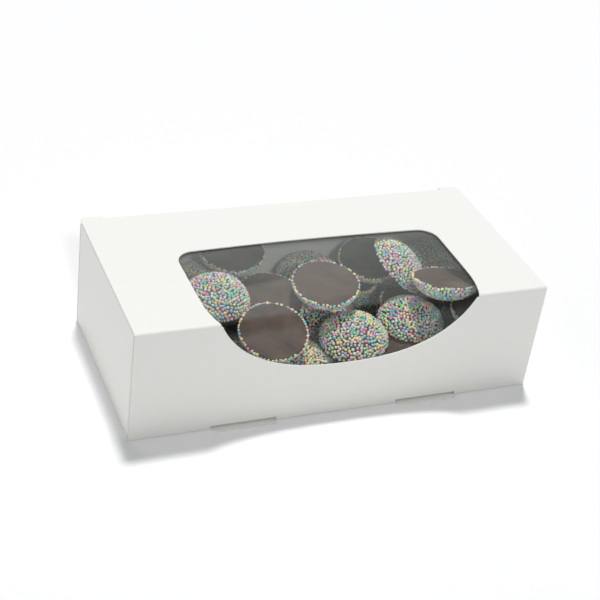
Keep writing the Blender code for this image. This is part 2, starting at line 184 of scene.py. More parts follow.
def settle(obj: Piece) -> None:
    """Put an object's place, turn and size into its mesh."""
    make_active(obj)
    bpy.ops.object.transform_apply(location=True, rotation=True, scale=True)


def modify(obj: Piece, kind: str, **values: object) -> None:
    """Add a modifier, set it and apply it.

    Args:
        obj: The mesh to change.
        kind: The modifier's type.
        **values: Its settings.
    """
    make_active(obj)
    modifier = obj.modifiers.new(kind.title(), kind)
    for key, value in values.items():
        setattr(modifier, key, value)
    bpy.ops.object.modifier_apply(modifier=modifier.name)


def cut(obj: Piece, tool: Piece, operation: str = "DIFFERENCE") -> None:
    """Cut a closed tool out of a board, or join it on by UNION, and remove the tool."""
    modify(obj, "BOOLEAN", object=tool, operation=operation, solver="EXACT")
    bpy.data.objects.remove(tool, do_unlink=True)


def block(name: str, low: tuple, high: tuple) -> Piece:
    """A block between two corners, for cutting with.

    Args:
        name: Its name.
        low: The lowest corner.
        high: The highest corner.

    Returns:
        The block.
    """
    size = Vector(high) - Vector(low)
    bpy.ops.mesh.primitive_cube_add(size=1, location=(Vector(low) + Vector(high)) / 2, scale=size)
    tool = named(name)
    settle(tool)
    return tool


def outline_tool(name: str, points: list[tuple], depth: float, up: Vector) -> Piece:
    """A closed tool from an outline, extruded along a direction.

    Args:
        name: Its name.
        points: The outline's corners in order, in three dimensions.
        depth: How far it is extruded.
        up: The direction.

    Returns:
        The tool.
    """
    bpy.ops.mesh.primitive_circle_add(vertices=len(points), radius=1, fill_type="NGON")
    tool = named(name)
    for vertex, point in zip(tool.data.vertices, points):
        vertex.co = point
    settle(tool)
    with editing(tool, "FACE", "SELECT"):
        extrude(up * depth)
        bpy.ops.mesh.select_all(action="SELECT")
        bpy.ops.mesh.normals_make_consistent(inside=False)
    return tool


def arc(centre: tuple, radius: float, start: float, end: float, steps: int) -> list[tuple]:
    """Points on an arc in a plane, from one angle in degrees to another."""
    angles = [math.radians(start + (end - start) * i / steps) for i in range(steps + 1)]
    return [(centre[0] + radius * math.cos(a), centre[1] + radius * math.sin(a)) for a in angles]


def tabbed(centre: float, width: float, low: float, high: float, radius: float, steps: int = 5) -> list[tuple]:
    """The outline of a tab or notch with two rounded corners at its far side.

    Args:
        centre: Its middle.
        width: Its width.
        low: Where it starts.
        high: Where it ends.
        radius: Radius of its far corners.
        steps: Steps round each of them.

    Returns:
        Points in a plane, in order.
    """
    left, right = centre - width / 2, centre + width / 2
    points = [(left, low), (right, low)]
    points += arc((right - radius, high - radius), radius, 0, 90, steps)
    return points + arc((left + radius, high - radius), radius, 90, 180, steps)


def mark(obj: Piece, name: str, values: object) -> None:
    """Store a number on each point of a piece, for its material."""
    attribute = obj.data.attributes.new(name, "FLOAT", "POINT")
    attribute.data.foreach_set("value", values)


def smooth(obj: Piece, degrees: float = 35.0) -> None:
    """Shade smooth, apart from edges sharper than an angle."""
    make_active(obj)
    bpy.ops.object.shade_smooth_by_angle(angle=math.radians(degrees))


def fill_slots(obj: Piece, materials: list) -> None:
    """Give a mesh its materials, one for each slot.

    Args:
        obj: The object.
        materials: The materials in order.
    """
    obj.data.materials.clear()
    for material in materials:
        obj.data.materials.append(material)


def dress(obj: Piece, materials: list) -> None:
    """Give a piece its materials."""
    fill_slots(obj, materials)


class Nodes:
    """A short hand for wiring a node tree."""

    def __init__(self, tree: bpy.types.NodeTree) -> None:
        """Keep the node tree to fill."""
        self.tree = tree

    def feed(self, node: bpy.types.Node, inputs: dict) -> None:
        """Link sockets to a node's inputs and set its values.

        Args:
            node: The node.
            inputs: Values or sockets for its inputs, by name or number.
        """
        for key, value in inputs.items():
            if isinstance(value, Socket):
                self.tree.links.new(value, node.inputs[key])
            else:
                node.inputs[key].default_value = value

    def add(self, kind: str, inputs: dict | None = None, **settings: object) -> bpy.types.Node:
        """Add a node.

        Args:
            kind: Its type.
            inputs: Values or sockets for its inputs, by name or number.
            **settings: Its other settings.

        Returns:
            The node.
        """
        node = self.tree.nodes.new(kind)
        for key, value in settings.items():
            setattr(node, key, value)
        self.feed(node, inputs or {})
        return node

    def place(self) -> Socket:
        """The point's place on the object."""
        return self.add("ShaderNodeTexCoord").outputs["Object"]

    def math(self, operation: str, *values: object, clamp: bool = False) -> Socket:
        """Add a math node on up to three values or sockets."""
        return self.add("ShaderNodeMath", dict(enumerate(values)), operation=operation, use_clamp=clamp).outputs[0]

    def ranged(
        self, value: object, near: float, far: float, low: float = 0.0, high: float = 1.0
    ) -> Socket:
        """Carry the range near to far over to the range low to high."""
        return self.add("ShaderNodeMapRange", {0: value, 1: near, 2: far, 3: low, 4: high}).outputs[0]

    def mix(self, factor: object, a: object, b: object, blend: str = "MIX") -> Socket:
        """Mix two colours, by the share of the second."""
        return self.add("ShaderNodeMix", {0: factor, 6: a, 7: b}, data_type="RGBA", blend_type=blend).outputs[2]

    def bump(self, height: object, distance: float, strength: float) -> Socket:
        """Turn a height from 0 to 1 into a normal."""
        return self.add("ShaderNodeBump", {"Height": height, "Distance": distance, "Strength": strength}).outputs[0]

    def effect(self, name: str, values: dict[str, float]) -> bpy.types.bpy_prop_collection:
        """Place a shared shader group by name, with this material's values, and give its outputs."""
        return self.add("ShaderNodeGroup", values, node_tree=bpy.data.node_groups[name]).outputs

    def ramp(self, factor: object, stops: tuple, mode: str) -> Socket:
        """Add a colour ramp.

        Args:
            factor: The socket that drives it.
            stops: Positions with their colours.
            mode: How it goes from one to the next.

        Returns:
            Its colour.
        """
        node = self.add("ShaderNodeValToRGB", {0: factor})
        node.color_ramp.interpolation = mode
        while len(node.color_ramp.elements) < len(stops):
            node.color_ramp.elements.new(0.5)
        for element, (place, colour) in zip(node.color_ramp.elements, stops):
            element.position = place
            element.color = (*colour, 1.0)
        return node.outputs[0]


class Effect(Nodes):
    """A shader group that more than one material uses, with named number sockets."""

    def __init__(self, name: str, inputs: dict[str, float], outputs: list[str]) -> None:
        """Open the group.

        Args:
            name: Its name.
            inputs: Its inputs with their usual values.
            outputs: Its outputs.
        """
        super().__init__(bpy.data.node_groups.new(name, "ShaderNodeTree"))
        sockets = self.tree.interface
        for key, value in inputs.items():
            sockets.new_socket(key, in_out="INPUT", socket_type="NodeSocketFloat").default_value = value
        for key in outputs:
            sockets.new_socket(key, in_out="OUTPUT", socket_type="NodeSocketFloat")
        self.entry = self.add("NodeGroupInput").outputs
        self.leave = self.add("NodeGroupOutput")

    def scale(self, size: str) -> Socket:
        """A texture's scale, from the input that gives its size in millimetres."""
        return self.math("DIVIDE", 1 / MM, self.entry[size])


def make_mottle() -> None:
    """Slow cloudy change and fine grain, both from 0 to 1, for board, film and candy."""
    group = Effect("mottle", {"Cloud size": 8.0, "Grain size": 0.3}, ["Cloud", "Grain"])
    place = group.place()
    for key, detail in (("Cloud", 3.0), ("Grain", 2.0)):
        inputs = {"Vector": place, "Scale": group.scale(key + " size"), "Detail": detail}
        group.feed(group.leave, {key: group.add("ShaderNodeTexNoise", inputs).outputs["Fac"]})


def make_specks(chosen_above: float = 0.55) -> None:
    """Sparse specks, as of sugar dust or lint, as a mask from 0 to 1.

    Args:
        chosen_above: The random tone above which a cell gets its speck.
    """
    group = Effect("specks", {"Spacing": 2.0, "Share": 0.12}, ["Mask"])
    cells = group.add("ShaderNodeTexVoronoi", {"Vector": group.place(), "Scale": group.scale("Spacing")})
    near = group.math("LESS_THAN", cells.outputs["Distance"], group.entry["Share"])
    tone = group.add("ShaderNodeSeparateColor", {0: cells.outputs["Color"]}).outputs[0]
    chosen = group.math("GREATER_THAN", tone, chosen_above)
    group.feed(group.leave, {"Mask": group.math("MULTIPLY", near, chosen)})


class Paint(Nodes):
    """A material under way, with its Principled shader."""

    def __init__(self, name: str) -> None:
        """Start the material.

        Args:
            name: Its name.
        """
        self.material = bpy.data.materials.new(name)
        self.material.use_nodes = True
        super().__init__(self.material.node_tree)
        self.shader = self.tree.nodes["Principled BSDF"]

    def finish(self, inputs: dict) -> bpy.types.Material:
        """Feed the Principled shader and hand over the material."""
        self.feed(self.shader, inputs)
        return self.material


@dataclass(frozen=True)
class BoardFinish:
    """Clay-coated white paperboard."""

    name: str
    colour: tuple = (0.885, 0.890, 0.846)
    shade: tuple = (0.872, 0.877, 0.832)
    roughness: float = 0.5
    specular: float = 0.3
    grain_height: float = 0.012 * MM
    grain_strength: float = 0.6
    cloud_size: float = 24.0
    grain_size: float = 0.22
    fibre: float = 0.05
    roughness_spread: float = 0.12

    def material(self) -> bpy.types.Material:
        """Make the material.

        Returns:
            The material.
        """
        paint = Paint(self.name)
        effect = paint.effect("mottle", {"Cloud size": self.cloud_size, "Grain size": self.grain_size})
        soft = paint.mix(effect["Cloud"], (*self.shade, 1.0), (*self.colour, 1.0))
        fibre = paint.math("MULTIPLY_ADD", effect["Grain"], self.fibre, 1 - self.fibre / 2)
        smoothest = self.roughness - self.roughness_spread / 2
        return paint.finish({
            "Base Color": paint.mix(1.0, soft, fibre, "MULTIPLY"),
            "Roughness": paint.math("MULTIPLY_ADD", effect["Cloud"], self.roughness_spread, smoothest),
            "Normal": paint.bump(effect["Grain"], self.grain_height, self.grain_strength),
            "Specular IOR Level": self.specular,
        })


@dataclass(frozen=True)
class FilmFinish:
    """Clear film with a painted reflection: the milky glare that it has under soft light is painted into its alpha and
    colour.
    """

    # colour and shade: the painted glare's milky colour, in two tones mixed by clouds
    colour: tuple = (0.80, 0.86, 0.80)
    shade: tuple = (0.78, 0.84, 0.78)
    # Strengths of the painted glare, a painted reflection: weak on the flap, none at the bend, rising towards the back
    # of the lid
    glare_front: float = 0.034
    glare_bend: float = 0.008
    glare_lid: float = 0.05
    glare_back: float = 0.085
    flap_fade: tuple = (43.0 * MM, 46.5 * MM)
    bend_y: float = -42.0 * MM
    lid_start: float = 1.0 * MM
    lid_full: float = 5.0 * MM
    back_y: float = 11.0 * MM
    # Streaks and clouds vary the painted glare; lint adds real specks
    streaks: float = 0.04
    streak_stretch: tuple = (9.0, 70.0, 55.0)
    streak_scale: float = 1.6
    cloud: float = 0.3
    lint: float = 0.1
    # edge_share: the share of the painted glare kept at the window's edge, so the inside shows dark there
    edge_share: float = 0.3
    roughness: float = 0.12
    specular: float = 0.5

    def glare(self, paint: Paint) -> Socket:
        """The painted glare's strength: weak down the front, none at the bend, strong at the back.

        Args:
            paint: The film's material.

        Returns:
            The strength, before clouds and lint.
        """
        place = paint.place()
        axes = paint.add("ShaderNodeSeparateXYZ", {0: place}).outputs
        lid_full = self.bend_y + self.lid_full
        flap = paint.ranged(axes["Z"], *self.flap_fade, self.glare_front, self.glare_bend)
        lid = paint.ranged(axes["Y"], self.bend_y + self.lid_start, lid_full, self.glare_bend, self.glare_lid)
        climb = paint.ranged(axes["Y"], lid_full, self.back_y, 0.0, self.glare_back - self.glare_lid)
        stretched = paint.add("ShaderNodeMapping", {"Vector": place, "Scale": self.streak_stretch}).outputs[0]
        noise = {"Vector": stretched, "Scale": self.streak_scale, "Detail": 1.5}
        waves = paint.math("SUBTRACT", paint.add("ShaderNodeTexNoise", noise).outputs["Fac"], 0.5)
        broad = paint.math("ADD", paint.math("MAXIMUM", flap, lid), climb)
        return paint.math("ADD", broad, paint.math("MULTIPLY", waves, self.streaks))

    def material(self) -> bpy.types.Material:
        """Make the material, whose alpha is the painted glare, a painted reflection that is cut back near the window's
        edge.

        Returns:
            The material.
        """
        paint = Paint("clear_film")
        effect = paint.effect("mottle", {"Cloud size": 14.0, "Grain size": 0.5})
        cloud = paint.math("MULTIPLY_ADD", effect["Cloud"], self.cloud, 1 - self.cloud / 2)
        glare = paint.math("MULTIPLY", self.glare(paint), cloud)
        specks = paint.effect("specks", {"Spacing": 6.0, "Share": 0.035})
        glare = paint.math("ADD", glare, paint.math("MULTIPLY", specks["Mask"], self.lint), clamp=True)
        edge = paint.add("ShaderNodeAttribute", attribute_name="from_edge").outputs["Fac"]
        # Painted reflection: the milky base colour shows through an alpha that follows the painted glare
        return paint.finish({
            "Base Color": paint.mix(effect["Cloud"], (*self.shade, 1.0), (*self.colour, 1.0)),
            "Alpha": paint.math("MULTIPLY", glare, paint.ranged(edge, 0.0, 1.0, self.edge_share)),
            "Roughness": self.roughness,
            "Specular IOR Level": self.specular,
        })


@dataclass(frozen=True)
class ChocolateFinish:
    """Dark chocolate with a little bloom and sugar dust."""

    dark: tuple = (0.040, 0.021, 0.014)
    bloom: tuple = (0.125, 0.085, 0.068)
    dust: tuple = (0.45, 0.38, 0.32)
    bloom_range: tuple = (0.35, 0.75)
    dust_share: float = 0.55
    roughness: float = 0.605
    roughness_spread: float = 0.25
    specular: float = 0.22
    grain_height: float = 0.05 * MM
    grain_strength: float = 0.5

    def material(self) -> bpy.types.Material:
        """Make the material.

        Returns:
            The material.
        """
        paint = Paint("dark_chocolate")
        effect = paint.effect("mottle", {"Cloud size": 11.0, "Grain size": 0.8})
        clouds = paint.ranged(effect["Cloud"], *self.bloom_range)
        base = paint.mix(clouds, (*self.dark, 1.0), (*self.bloom, 1.0))
        specks = paint.effect("specks", {"Spacing": 1.7, "Share": 0.1})
        dusty = paint.math("MULTIPLY", specks["Mask"], self.dust_share)
        smoothest = self.roughness - self.roughness_spread / 2
        return paint.finish({
            "Base Color": paint.mix(dusty, base, (*self.dust, 1.0)),
            "Roughness": paint.math("MULTIPLY_ADD", effect["Cloud"], self.roughness_spread, smoothest),
            "Normal": paint.bump(effect["Grain"], self.grain_height, self.grain_strength),
            "Specular IOR Level": self.specular,
        })


@dataclass(frozen=True)
class SugarFinish:
    """Pastel sugar beads: each bead's tone picks its colour."""

    colours: tuple = (
        (0.00, (0.86, 0.36, 0.60)),
        (0.17, (0.90, 0.60, 0.74)),
        (0.27, (0.93, 0.86, 0.36)),
        (0.43, (0.90, 0.88, 0.62)),
        (0.50, (0.34, 0.74, 0.56)),
        (0.64, (0.26, 0.66, 0.76)),
        (0.80, (0.88, 0.88, 0.86)),
        (0.90, (0.92, 0.55, 0.36)),
        (0.94, (0.55, 0.80, 0.40)),
    )
    worn_darkest: float = 0.84
    worn_spread: float = 0.3
    roughness: float = 0.42
    grain_height: float = 0.03 * MM
    grain_strength: float = 0.4

    def material(self) -> bpy.types.Material:
        """Make the material.

        Returns:
            The material.
        """
        paint = Paint("sugar_beads")
        tone = paint.add("ShaderNodeAttribute", attribute_name="bead_tone").outputs["Fac"]
        effect = paint.effect("mottle", {"Cloud size": 1.5, "Grain size": 0.3})
        worn = paint.math("MULTIPLY_ADD", effect["Cloud"], self.worn_spread, self.worn_darkest)
        return paint.finish({
            "Base Color": paint.mix(1.0, paint.ramp(tone, self.colours, "CONSTANT"), worn, "MULTIPLY"),
            "Normal": paint.bump(effect["Grain"], self.grain_height, self.grain_strength),
            "Roughness": self.roughness,
        })


class Palette:
    """Every material of the box, made once."""

    def __init__(self) -> None:
        """Build the shared groups and the materials."""
        make_mottle()
        make_specks()
        self.board = BoardFinish("coated_board").material()
        self.inside = BoardFinish(
            "board_inside", (0.80, 0.79, 0.75), (0.77, 0.76, 0.715), 0.75, 0.15, 0.03 * MM
        ).material()
        self.cut_edge = BoardFinish(
            "cut_edge", (0.84, 0.83, 0.79), (0.76, 0.75, 0.70), 0.85, 0.1, 0.04 * MM
        ).material()
        self.film = FilmFinish().material()
        self.chocolate = ChocolateFinish().material()
        self.sugar = SugarFinish().material()


@dataclass
class Carton:
    """The blank's own sizes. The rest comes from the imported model's boxes."""

    board: float = 0.5 * MM
    gap: float = 0.3 * MM
    crease: float = 1.3 * MM
    hidden_crease: float = 0.8 * MM
    floor_crease: float = 0.35 * MM
    foot: float = 0.15 * MM
    skin: float = 0.08
    length: float = field(init=False)
    front: float = field(init=False)
    back: float = field(init=False)
    height: float = field(init=False)

    def __post_init__(self) -> None:
        """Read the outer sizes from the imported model."""
        low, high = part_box("lid_panel")
        self.length = high[0] - low[0]
        self.height = high[2]
        self.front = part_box("front_flap")[0][1]
        self.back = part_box("back_wall")[1][1]

    @property
    def right(self) -> float:
        """Half the length."""
        return self.length / 2

    def sheet(self, name: str, low: tuple, high: tuple, level: float) -> Piece:
        """A flat sheet, its outer face up.

        Args:
            name: Its name.
            low: Lowest x and y.
            high: Highest x and y.
            level: Its height.

        Returns:
            The sheet.
        """
        middle = ((low[0] + high[0]) / 2, (low[1] + high[1]) / 2, level)
        bpy.ops.mesh.primitive_plane_add(size=1, location=middle)
        obj = named(name)
        settle(obj)
        with editing(obj, "FACE", "SELECT"):
            bpy.ops.transform.resize(value=(high[0] - low[0], high[1] - low[1], 1), center_override=middle)
        return obj

    def fold(self, obj: Piece, edge: Test, move: tuple, radius: float, segments: int = 8) -> None:
        """Extrude an edge into a new panel and round the crease between.

        Args:
            obj: The sheet.
            edge: Picks the edge that becomes the crease.
            move: From the crease to the new panel's far edge.
            radius: The crease's outer radius.
            segments: Steps round the crease.
        """
        with editing(obj):
            pick(obj, edge)
            extrude(move)
            pick(obj, edge)
            bpy.ops.mesh.bevel(offset=radius, segments=segments, affect="EDGES", offset_type="OFFSET")

    def thicken(self, obj: Piece, outward: Vector, thickness: float) -> None:
        """Give a sheet its board, inwards from its outer face.

        Args:
            obj: The sheet.
            outward: Which way its first panel's outer face looks.
            thickness: The board's thickness.
        """
        with editing(obj, "FACE", "SELECT"):
            bpy.ops.mesh.normals_make_consistent(inside=False)
        largest = max(obj.data.polygons, key=lambda face: face.area)
        if largest.normal.dot(outward) < 0:
            with editing(obj, "FACE", "SELECT"):
                bpy.ops.mesh.flip_normals()
        modify(obj, "SOLIDIFY", thickness=thickness, offset=-1.0, use_even_offset=True)

    def mark_cut_edges(self, obj: Piece, depth: Callable[[Vector], float]) -> None:
        """Give the inner face and the cut edges their own material slots.

        Args:
            obj: The board, with the slots outside, inside and cut edge.
            depth: A point's depth under the board's outer face.
        """
        for face in obj.data.polygons:
            share = depth(face.center) / self.board
            face.material_index = 0 if share < self.skin else 1 if share > 1 - self.skin else 2


def lock_span(side: Side) -> tuple[float, float]:
    """A lock tab's middle along the box, and its width."""
    low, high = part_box(side.word + "_lock_tab")
    return (low[0] + high[0]) / 2, high[0] - low[0]


@dataclass
class Window:
    """The opening's outline, unrolled over the front crease."""

    half_width: float = 58.9 * MM
    aside: float = 1.0 * MM
    back: float = 53.4 * MM
    bow: float = 1.2 * MM
    corner: float = 8.0 * MM
    shoulder: float = 19.8 * MM
    drop: float = 26.0 * MM
    power: float = 2.43
    corner_steps: int = 8
    back_steps: int = 12
    front_steps: int = 56

    def outline(self) -> list[tuple]:
        """The outline's points: x, and the distance behind the front crease.

        Returns:
            The points in order.
        """
        half, corner = self.half_width, self.corner
        points = [(-half, self.shoulder)]
        points += arc((corner - half, self.back - corner), corner, 180, 90, self.corner_steps)
        for i in range(1, self.back_steps):
            x = (half - corner) * (2 * i / self.back_steps - 1)
            points.append((x, self.back + self.bow * (1 - (x / (half - corner)) ** 2)))
        points += arc((half - corner, self.back - corner), corner, 90, 0, self.corner_steps)
        fall = self.drop + self.shoulder
        for i in range(self.front_steps):
            angle = math.pi * i / self.front_steps
            across = math.cos(angle)
            x = math.copysign(abs(across) ** (2 / self.power), across) * half
            points.append((x, self.shoulder - fall * math.sin(angle) ** (2 / self.power)))
        return [(x + self.aside, s) for x, s in points]


@dataclass
class Cover:
    """Lid and front flap: one board, bent over the front crease."""

    carton: Carton
    window: Window
    palette: Palette
    ear_width: float = 8.5 * MM
    ear_inset: float = 1.0 * MM
    notch_corner: float = 0.6 * MM
    cutter_reach: float = 3 * MM

    def depth(self, point: Vector) -> float:
        """How deep a point lies under the folded board's outer face.

        Args:
            point: A point of the board.

        Returns:
            The depth.
        """
        c = self.carton
        y, z = point.y - c.front, c.height - point.z
        if y > c.crease or z > c.crease:
            return min(y if z > c.crease else z, z if y > c.crease else y)
        return c.crease - math.hypot(c.crease - y, c.crease - z)

    def board(self) -> Piece:
        """Fold the board, thicken it and cut its window, ears and notches.

        Returns:
            The piece.
        """
        c = self.carton
        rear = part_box("lid_panel")[1][1]
        cover = c.sheet("cover_board", (-c.right, c.front), (c.right, rear), c.height)
        c.fold(cover, at(y=c.front, z=c.height), (0, 0, c.foot - c.height), c.crease)
        c.thicken(cover, UP, c.board)
        outline = self.window.outline()
        top = [(x, c.front + s, c.height - c.crease) for x, s in outline]
        cut(cover, outline_tool("window_top", top, 2 * self.cutter_reach, UP))
        front = [(x, c.front - self.cutter_reach, c.height + s) for x, s in outline]
        cut(cover, outline_tool("window_front", front, self.cutter_reach + c.crease, BACKWARDS))
        inner = c.right - self.ear_inset - self.ear_width
        joint = c.back - c.hidden_crease
        cut(cover, block("rear_middle", (-inner, joint, 0), (inner, rear + c.gap, 1)))
        for side in Side:
            xs = sorted((side.value * (c.right - self.ear_inset), side.value * (c.right + c.gap)))
            cut(cover, block("rear_corner", (xs[0], c.back, 0), (xs[1], rear + c.gap, 1)))
            middle, width = lock_span(side)
            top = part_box(side.word + "_lock_tab")[1][2] + c.gap
            points = tabbed(middle, width + 2 * c.gap, -c.gap, top, self.notch_corner)
            points = [(x, c.front - c.gap, z) for x, z in points]
            cut(cover, outline_tool("lock_notch", points, c.board + 2 * c.gap, BACKWARDS))
        c.mark_cut_edges(cover, self.depth)
        smooth(cover, 30)
        return cover

    def build(self) -> list[Piece]:
        """Make the folded cover and set it in for its CAD panels.

        Returns:
            The pieces.
        """
        cover = self.board()
        dress(cover, [self.palette.board, self.palette.inside, self.palette.cut_edge])
        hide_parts("lid_panel", "front_flap")
        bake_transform(cover)
        return [cover]


@dataclass
class WindowFilm:
    """The clear film behind the window, bent over the same crease."""

    carton: Carton
    window: Window
    palette: Palette
    bend: float = 1.9 * MM
    thickness: float = 0.12 * MM
    bend_steps: int = 10
    cuts: tuple = (110, 60, 26)
    ripple_lid: float = 0.06 * MM
    ripple_flap: float = 0.05 * MM
    wave_turns: tuple = (0.11, 0.05, 0.19, 0.07, 0.3)
    calm_from: float = 60.0
    calm_power: int = 6
    # Width over which the painted glare fades in from the window's edge
    clear_edge: float = 1.5 * MM

    def mark_edge(self, film: Piece) -> None:
        """Store each point's distance from the window's edge, for the film's painted glare.

        Args:
            film: The film.
        """
        c = self.carton
        outline = np.array(self.window.outline())
        following = np.roll(outline, -1, axis=0)
        steps = following - outline
        places = np.array([v.co for v in film.data.vertices])
        down = np.minimum(places[:, 2] + self.bend - c.height, 0)
        flat = np.stack([places[:, 0], np.maximum(places[:, 1] - c.front, 0) + down], axis=1)
        along = ((flat[:, None] - outline[None]) * steps[None]).sum(-1) / (steps**2).sum(-1)
        nearest = outline[None] + np.clip(along, 0, 1)[..., None] * steps[None]
        distance = np.linalg.norm(flat[:, None] - nearest, axis=-1).min(axis=1)
        mark(film, "from_edge", np.clip(distance / self.clear_edge, 0, 1))

    def sheet(self) -> Piece:
        """Bend the film, ripple it slightly and give it its thickness.

        Returns:
            The piece.
        """
        c = self.carton
        lid_low, lid_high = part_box("lid_window_film")
        flap_low, flap_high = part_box("flap_window_film")
        front, level = flap_low[1], lid_high[2]
        film = c.sheet("window_film", (lid_low[0], front), (lid_high[0], lid_high[1]), level)
        c.fold(film, at(y=front, z=level), (0, 0, flap_low[2] - level), self.bend, self.bend_steps)
        spans = ((lid_low[0], lid_high[0]), (front + self.bend, lid_high[1]), (flap_low[2], level - self.bend))
        with editing(film, "FACE"):
            for normal, span, count in zip(np.eye(3), spans, self.cuts):
                for place in np.linspace(*span, count)[1:-1]:
                    bpy.ops.mesh.select_all(action="SELECT")
                    bpy.ops.mesh.bisect(plane_co=tuple(normal * place), plane_no=tuple(normal))
        a, b, turn, d, e = self.wave_turns
        for vertex in film.data.vertices:
            x, y, z = (value / MM for value in vertex.co)
            wave = math.sin(x * a + y * b) * math.sin(y * turn + 1.0) + 0.5 * math.sin(x * d - z * e)
            inside = max(0.0, 1 - (abs(x) / self.calm_from) ** self.calm_power)
            if vertex.co.y > front + self.bend:
                vertex.co.z += self.ripple_lid * (wave * inside - 1)
            elif vertex.co.z < level - self.bend:
                vertex.co.y += self.ripple_flap * abs(wave) * inside
        c.thicken(film, UP, self.thickness)
        smooth(film, 40)
        return film

    def build(self) -> list[Piece]:
        """Make the folded film and set it in for its CAD sheets.

        Returns:
            The pieces.
        """
        film = self.sheet()
        self.mark_edge(film)
        dress(film, [self.palette.film])
        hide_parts("lid_window_film", "flap_window_film")
        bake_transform(film)
        return [film]


@dataclass
class Locks:
    """The two lock tabs, each with the fold that joins it to the flap."""

    carton: Carton
    palette: Palette
    bend: float = 0.62 * MM
    bend_steps: int = 6
    corner: float = 1.2 * MM
    corner_steps: int = 5

    def tab(self, side: Side) -> Piece:
        """Fold one tab in from the flap's lower edge.

        Args:
            side: Which tab.

        Returns:
            The piece.
        """
        c = self.carton
        low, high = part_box(side.word + "_lock_tab")
        tab = c.sheet(side.word + "_lock_fold", (low[0], c.front), (high[0], high[1]), low[2])
        c.fold(tab, at(y=c.front), (0, 0, high[2] + c.gap - low[2]), self.bend, self.bend_steps)
        c.thicken(tab, -UP, c.board)
        with editing(tab):
            pick(tab, lambda p: at(y=high[1])(p) and (at(x=low[0])(p) or at(x=high[0])(p)))
            bpy.ops.mesh.bevel(offset=self.corner, segments=self.corner_steps, affect="EDGES")
        for face in tab.data.polygons:
            centre, upright = face.center, abs(face.normal.z) < 0.5
            rim = min(centre.x - low[0], high[0] - centre.x, high[1] - centre.y) < c.gap / 2
            face.material_index = int(rim and upright)
        smooth(tab)
        return tab

    def build(self) -> list[Piece]:
        """Make both tabs and set each in for its CAD tab.

        Returns:
            The pieces.
        """
        pieces = []
        for side in Side:
            tab = self.tab(side)
            dress(tab, [self.palette.board, self.palette.cut_edge])
            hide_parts(side.word + "_lock_tab")
            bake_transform(tab)
            pieces.append(tab)
        return pieces


